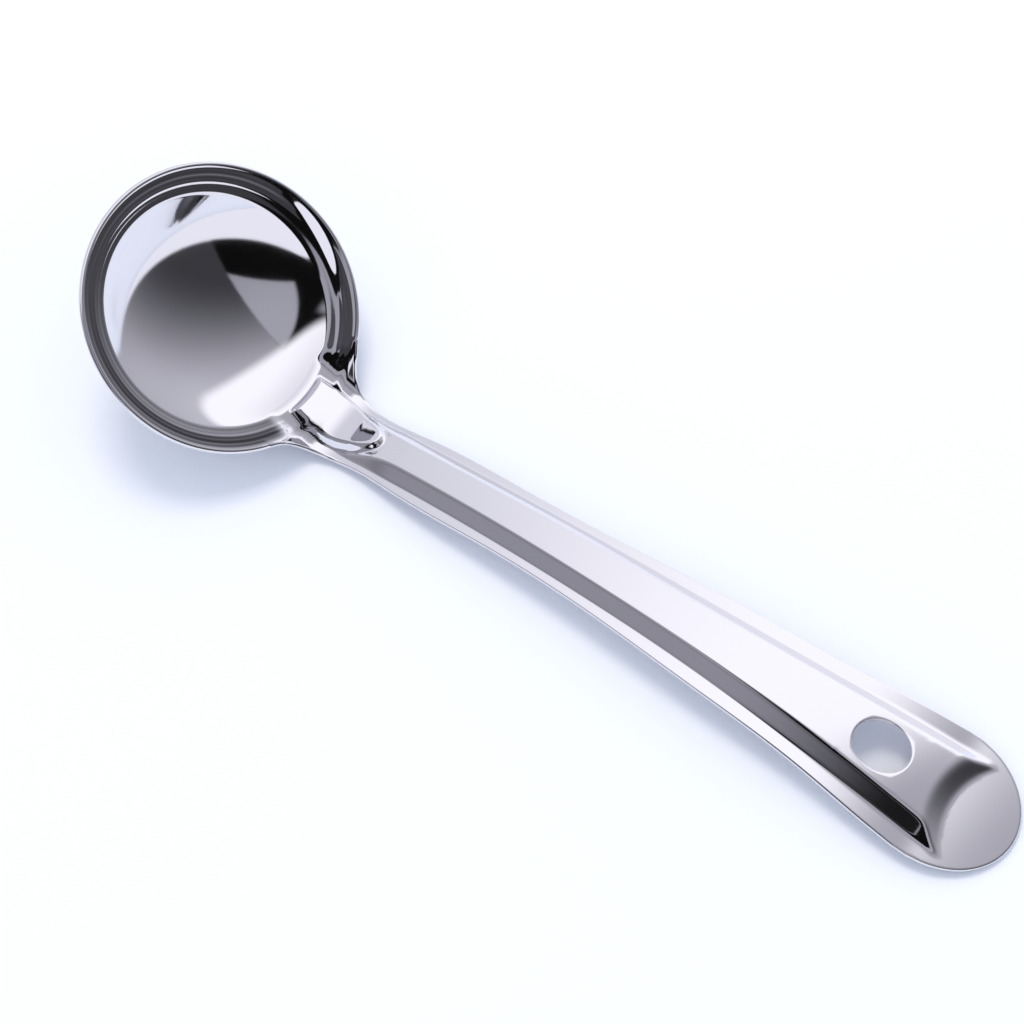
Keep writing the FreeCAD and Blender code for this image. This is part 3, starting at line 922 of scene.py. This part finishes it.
def look(azimuth, elevation):
    """Unit vector of a direction in degrees, from +X towards +Y and up from the table."""
    a = math.radians(azimuth)
    e = math.radians(elevation)
    return np.array([math.cos(e) * math.cos(a), math.cos(e) * math.sin(a), math.sin(e)])


def edge_through(first, second, third, inside):
    """A cut of the tent through three directions: its normal and level, with the inside on the high side."""
    normal = np.cross(second - first, third - first)
    normal /= np.linalg.norm(normal)
    level = float(normal @ first)
    if inside @ normal < level:
        return -normal, -level
    return normal, level


def tent_zones():
    """The tent's cloths, from the lowest to the one laid on top."""
    up = look(0.0, 90.0)
    left = look(180.0, 0.0)
    front = look(-90.0, 0.0)
    disc = (np.array([0.152, 0.298, 0.942]), 0.326)
    right_of_window = (look(-106.0, 0.0), 0.0)
    low_side = edge_through(look(-22.0, 42.0), look(-63.0, 50.0), look(-41.0, 49.0), up)
    left_side = edge_through(look(-64.5, 48.0), look(-83.0, 74.6), up, look(0.0, 60.0))
    window = edge_through(look(60.0, 86.0), look(74.0, 57.0), look(80.0, 31.0), look(180.0, 60.0))
    wide_front = (front, 0.485)
    narrow_front = (front, 0.8)
    left_part = (left, 0.1)
    left_half = (left, -0.12)
    back_cloth = (left, 0.72)
    low_back = (look(97.0, 0.0), 0.87)
    off_front = (look(90.0, 0.0), -0.5)
    # low and high tone, the way the tones run, where the run starts and ends, cuts, softness of the cuts
    return (
        (150, 92, up, 0.1, 0.6, (back_cloth,), 0.12),
        (56, 190, look(143.0, 0.0), -0.72, 0.5, (disc,), 0.02),
        (222, 234, up, 0.0, 0.5, (low_back,), 0.04),
        (12, 12, up, 0.0, 1.0, (disc, right_of_window), 0.015),
        (138, 158, up, 0.5, 1.0, (disc, right_of_window, low_side, left_side), 0.015),
        (165, 118, front, 0.45, 0.95, (wide_front, left_part), 0.05),
        (22, 22, up, 0.0, 1.0, (narrow_front, left_half), 0.05),
        (140, 125, up, 0.0, 1.0, (narrow_front, left_part), 0.08),
        (250, 206, left, 0.05, 0.62, (window, off_front), 0.06),
    )


def lit_cloth():
    """Light cloth of the tent: each zone is a tone by direction, cut off along great or small circles."""
    material = bpy.data.materials.new("lit studio cloth")
    material.use_nodes = True
    tree = material.node_tree
    tree.nodes.clear()
    place = add_node(tree, "ShaderNodeTexCoord").outputs["Object"]
    ray = add_node(tree, "ShaderNodeVectorMath", None, {0: place}, operation="NORMALIZE").outputs[0]
    smooth = {"interpolation_type": "SMOOTHSTEP"}
    tone = None
    for low, high, run, start, end, cuts, soft in tent_zones():
        along = add_node(tree, "ShaderNodeVectorMath", {1: run.tolist()}, {0: ray}, operation="DOT_PRODUCT")
        limits = {"From Min": start, "From Max": end}
        share = add_node(tree, "ShaderNodeMapRange", limits, {"Value": along.outputs["Value"]}, **smooth)
        tones = {6: grey(low), 7: grey(high)}
        cloth = add_node(tree, "ShaderNodeMix", tones, {0: share.outputs["Result"]}, data_type="RGBA")
        cover = None
        for normal, level in cuts:
            side_of = {1: normal.tolist()}
            over = add_node(tree, "ShaderNodeVectorMath", side_of, {0: ray}, operation="DOT_PRODUCT")
            limits = {"From Min": level - soft, "From Max": level + soft}
            step = add_node(tree, "ShaderNodeMapRange", limits, {"Value": over.outputs["Value"]}, **smooth)
            if cover is None:
                cover = step.outputs["Result"]
            else:
                both = {0: cover, 1: step.outputs["Result"]}
                cover = add_node(tree, "ShaderNodeMath", None, both, operation="MULTIPLY").outputs[0]
        links = {0: cover, 7: cloth.outputs[2]}
        laid = add_node(tree, "ShaderNodeMix", {6: grey(TENT_BASE)}, links, data_type="RGBA")
        if tone is not None:
            tree.links.new(tone, laid.inputs[6])
        tone = laid.outputs[2]
    glow = add_node(tree, "ShaderNodeEmission", {"Strength": TENT_LEVEL}, {"Color": tone})
    add_node(tree, "ShaderNodeOutputMaterial", None, {"Surface": glow.outputs["Emission"]})
    return material


def build_tent():
    """A wide dome of lit cloth, which only the polished steel shows anything of."""
    points = []
    faces = []
    around = 48
    rows = 12
    for i in range(rows):
        for j in range(around):
            points.append(TENT_R * look(360.0 * j / around, 90.0 * i / rows))
    points.append(TENT_R * UP)
    for i in range(rows - 1):
        for j in range(around):
            k = (j + 1) % around
            faces.append((i * around + j, i * around + k, (i + 1) * around + k, (i + 1) * around + j))
    for j in range(around):
        faces.append(((rows - 1) * around + j, (rows - 1) * around + (j + 1) % around, rows * around))
    mesh = bpy.data.meshes.new("studio tent")
    mesh.from_pydata([tuple(point) for point in points], [], faces)
    mesh.materials.append(lit_cloth())
    tent = bpy.data.objects.new("studio tent", mesh)
    bpy.context.scene.collection.objects.link(tent)
    tent.visible_camera = False
    tent.visible_diffuse = False
    tent.visible_shadow = False


def soft_lamp(name, place, aim, size, watts, colour):
    """A square area lamp that lights the table and the shadow, and isn't mirrored."""
    data = bpy.data.lights.new(name, "AREA")
    data.shape = "SQUARE"
    data.size = size
    data.energy = watts
    data.color = colour[:3]
    lamp = bpy.data.objects.new(name, data)
    lamp.location = place
    lamp.rotation_euler = (Vector(aim) - Vector(place)).to_track_quat("-Z", "Y").to_euler()
    lamp.visible_glossy = False
    bpy.context.scene.collection.objects.link(lamp)
    return lamp


def build_stage(table_colour, lamp_colour, lamp_watts, fill_level):
    """White table, tent, one soft lamp, even fill light and the camera."""
    mesh = bpy.data.meshes.new("white table")
    half = 3.0
    corners = [(-half, -half, 0.0), (half, -half, 0.0), (half, half, 0.0), (-half, half, 0.0)]
    mesh.from_pydata(corners, [], [(0, 1, 2, 3)])
    floor = bpy.data.objects.new("white table", mesh)
    bpy.context.scene.collection.objects.link(floor)
    material = bpy.data.materials.new("white table top")
    material.use_nodes = True
    shader = material.node_tree.nodes["Principled BSDF"]
    shader.inputs["Base Color"].default_value = table_colour
    shader.inputs["Roughness"].default_value = 0.7
    shader.inputs["Specular IOR Level"].default_value = 0.2
    mesh.materials.append(material)
    build_tent()
    soft_lamp("window light", (-0.4, 0.25, 1.5), (0.0, 0.0, 0.0), 0.5, lamp_watts, lamp_colour)
    world = bpy.data.worlds.new("studio")
    world.use_nodes = True
    sky = world.node_tree.nodes["Background"]
    sky.inputs["Color"].default_value = to_linear("#E6F0FF")
    sky.inputs["Strength"].default_value = fill_level
    bpy.context.scene.world = world
    place_camera(bowl_place())
    bpy.context.scene.view_settings.view_transform = "Standard"


class LADLE_PG_sizes(bpy.types.PropertyGroup):
    """Sizes of the ladle that can be changed before it is built"""

    crown_height: bpy.props.FloatProperty(
        name="Crown height",
        description="How far the raised middle of the handle stands over its flanges",
        default=Sizes.crown_height * MM,
        min=0.5 * MM,
        max=5.0 * MM,
        precision=4,
        subtype="DISTANCE",
        unit="LENGTH",
    )
    crown_wall: bpy.props.FloatProperty(
        name="Crown wall width",
        description="Width of the sloped wall on each side of the raised middle",
        default=Sizes.crown_wall * MM,
        min=1.0 * MM,
        max=4.0 * MM,
        precision=4,
        subtype="DISTANCE",
        unit="LENGTH",
    )
    hole_at: bpy.props.FloatProperty(
        name="Hole position",
        description="Distance of the hanging hole from the middle of the bowl",
        default=Sizes.hole_at * MM,
        min=90.0 * MM,
        max=150.0 * MM,
        precision=4,
        subtype="DISTANCE",
        unit="LENGTH",
    )
    hole_length: bpy.props.FloatProperty(
        name="Hole length",
        description="Length of the hanging hole along the handle",
        default=2.0 * Sizes.hole_half_length * MM,
        min=4.0 * MM,
        max=14.0 * MM,
        precision=4,
        subtype="DISTANCE",
        unit="LENGTH",
    )
    hole_width: bpy.props.FloatProperty(
        name="Hole width",
        description="Width of the hanging hole across the handle",
        default=2.0 * Sizes.hole_half_width * MM,
        min=4.0 * MM,
        max=12.0 * MM,
        precision=4,
        subtype="DISTANCE",
        unit="LENGTH",
    )


class LADLE_PG_finish(bpy.types.PropertyGroup):
    """Colours and gloss of the ladle and its stage"""

    steel: bpy.props.FloatVectorProperty(
        name="Steel",
        description="Colour that the buffed steel mirrors with",
        default=to_linear("#E4E3E8"),
        size=4,
        min=0.0,
        max=1.0,
        subtype="COLOR",
    )
    smoothest: bpy.props.FloatProperty(
        name="Smoothest",
        description="Roughness of the steel where the buffing wheel pressed hardest",
        default=0.035,
        min=0.0,
        max=1.0,
        subtype="FACTOR",
    )
    roughest: bpy.props.FloatProperty(
        name="Roughest",
        description="Roughness of the steel where the buffing wheel only brushed over it",
        default=0.1,
        min=0.0,
        max=1.0,
        subtype="FACTOR",
    )
    table: bpy.props.FloatVectorProperty(
        name="Table",
        description="Colour of the table top",
        default=to_linear("#F4F5FB"),
        size=4,
        min=0.0,
        max=1.0,
        subtype="COLOR",
    )
    lamp: bpy.props.FloatVectorProperty(
        name="Lamp",
        description="Colour of the soft lamp over the table",
        default=to_linear("#FFF4E2"),
        size=4,
        min=0.0,
        max=1.0,
        subtype="COLOR",
    )
    lamp_power: bpy.props.FloatProperty(
        name="Lamp power",
        description="Power of the soft lamp over the table",
        default=8.0,
        min=0.0,
        subtype="POWER",
        unit="POWER",
    )
    fill: bpy.props.FloatProperty(
        name="Fill light",
        description="Level of the even light from all around",
        default=1.0,
        min=0.0,
        max=2.0,
    )


class LADLE_OT_add_ladle(bpy.types.Operator):
    """Builds the ladle as one pressed piece of sheet"""

    bl_idname = "ladle.add_ladle"
    bl_label = "Add ladle"

    def execute(self, context):
        """Builds the piece with the panel's sizes and finish."""
        sizes = context.scene.ladle_sizes
        finish = context.scene.ladle_finish
        Sizes.crown_height = sizes.crown_height / MM
        Sizes.crown_wall = sizes.crown_wall / MM
        Sizes.hole_at = sizes.hole_at / MM
        Sizes.hole_half_length = sizes.hole_length / MM / 2.0
        Sizes.hole_half_width = sizes.hole_width / MM / 2.0
        piece = build_ladle("pressed_ladle")
        piece.data.materials.append(polished_steel(finish.steel, finish.smoothest, finish.roughest))
        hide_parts("ladle")
        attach(piece, "root")
        return {"FINISHED"}


class LADLE_OT_add_stage(bpy.types.Operator):
    """Adds the white table, the tent, the light and the camera"""

    bl_idname = "ladle.add_stage"
    bl_label = "Add stage"

    def execute(self, context):
        """Builds the stage with the panel's colours and light."""
        finish = context.scene.ladle_finish
        build_stage(finish.table, finish.lamp, finish.lamp_power, finish.fill)
        return {"FINISHED"}


class LADLE_PT_panel(bpy.types.Panel):
    """Sizes, finish and the two build steps in the 3D view's sidebar"""

    bl_idname = "LADLE_PT_panel"
    bl_label = "Serving ladle"
    bl_space_type = "VIEW_3D"
    bl_region_type = "UI"
    bl_category = "Ladle"

    def draw(self, context):
        """Lists the settings, then the two operators."""
        column = self.layout.column()
        sizes = context.scene.ladle_sizes
        for name in ("crown_height", "crown_wall", "hole_at", "hole_length", "hole_width"):
            column.prop(sizes, name)
        finish = context.scene.ladle_finish
        for name in ("steel", "smoothest", "roughest", "table", "lamp", "lamp_power", "fill"):
            column.prop(finish, name)
        column.operator(LADLE_OT_add_ladle.bl_idname)
        column.operator(LADLE_OT_add_stage.bl_idname)


CLASSES = (LADLE_PG_sizes, LADLE_PG_finish, LADLE_OT_add_ladle, LADLE_OT_add_stage, LADLE_PT_panel)


def register():
    """Adds the panel, the operators and the two groups of settings to Blender."""
    for cls in CLASSES:
        bpy.utils.register_class(cls)
    bpy.types.Scene.ladle_sizes = bpy.props.PointerProperty(type=LADLE_PG_sizes)
    bpy.types.Scene.ladle_finish = bpy.props.PointerProperty(type=LADLE_PG_finish)


def unregister():
    """Takes away what register adds."""
    del bpy.types.Scene.ladle_finish
    del bpy.types.Scene.ladle_sizes
    for cls in reversed(CLASSES):
        bpy.utils.unregister_class(cls)


def main():
    """Builds the ladle and its stage."""
    register()
    bpy.ops.ladle.add_ladle()
    bpy.ops.ladle.add_stage()


if __name__ == "__main__":
    main()
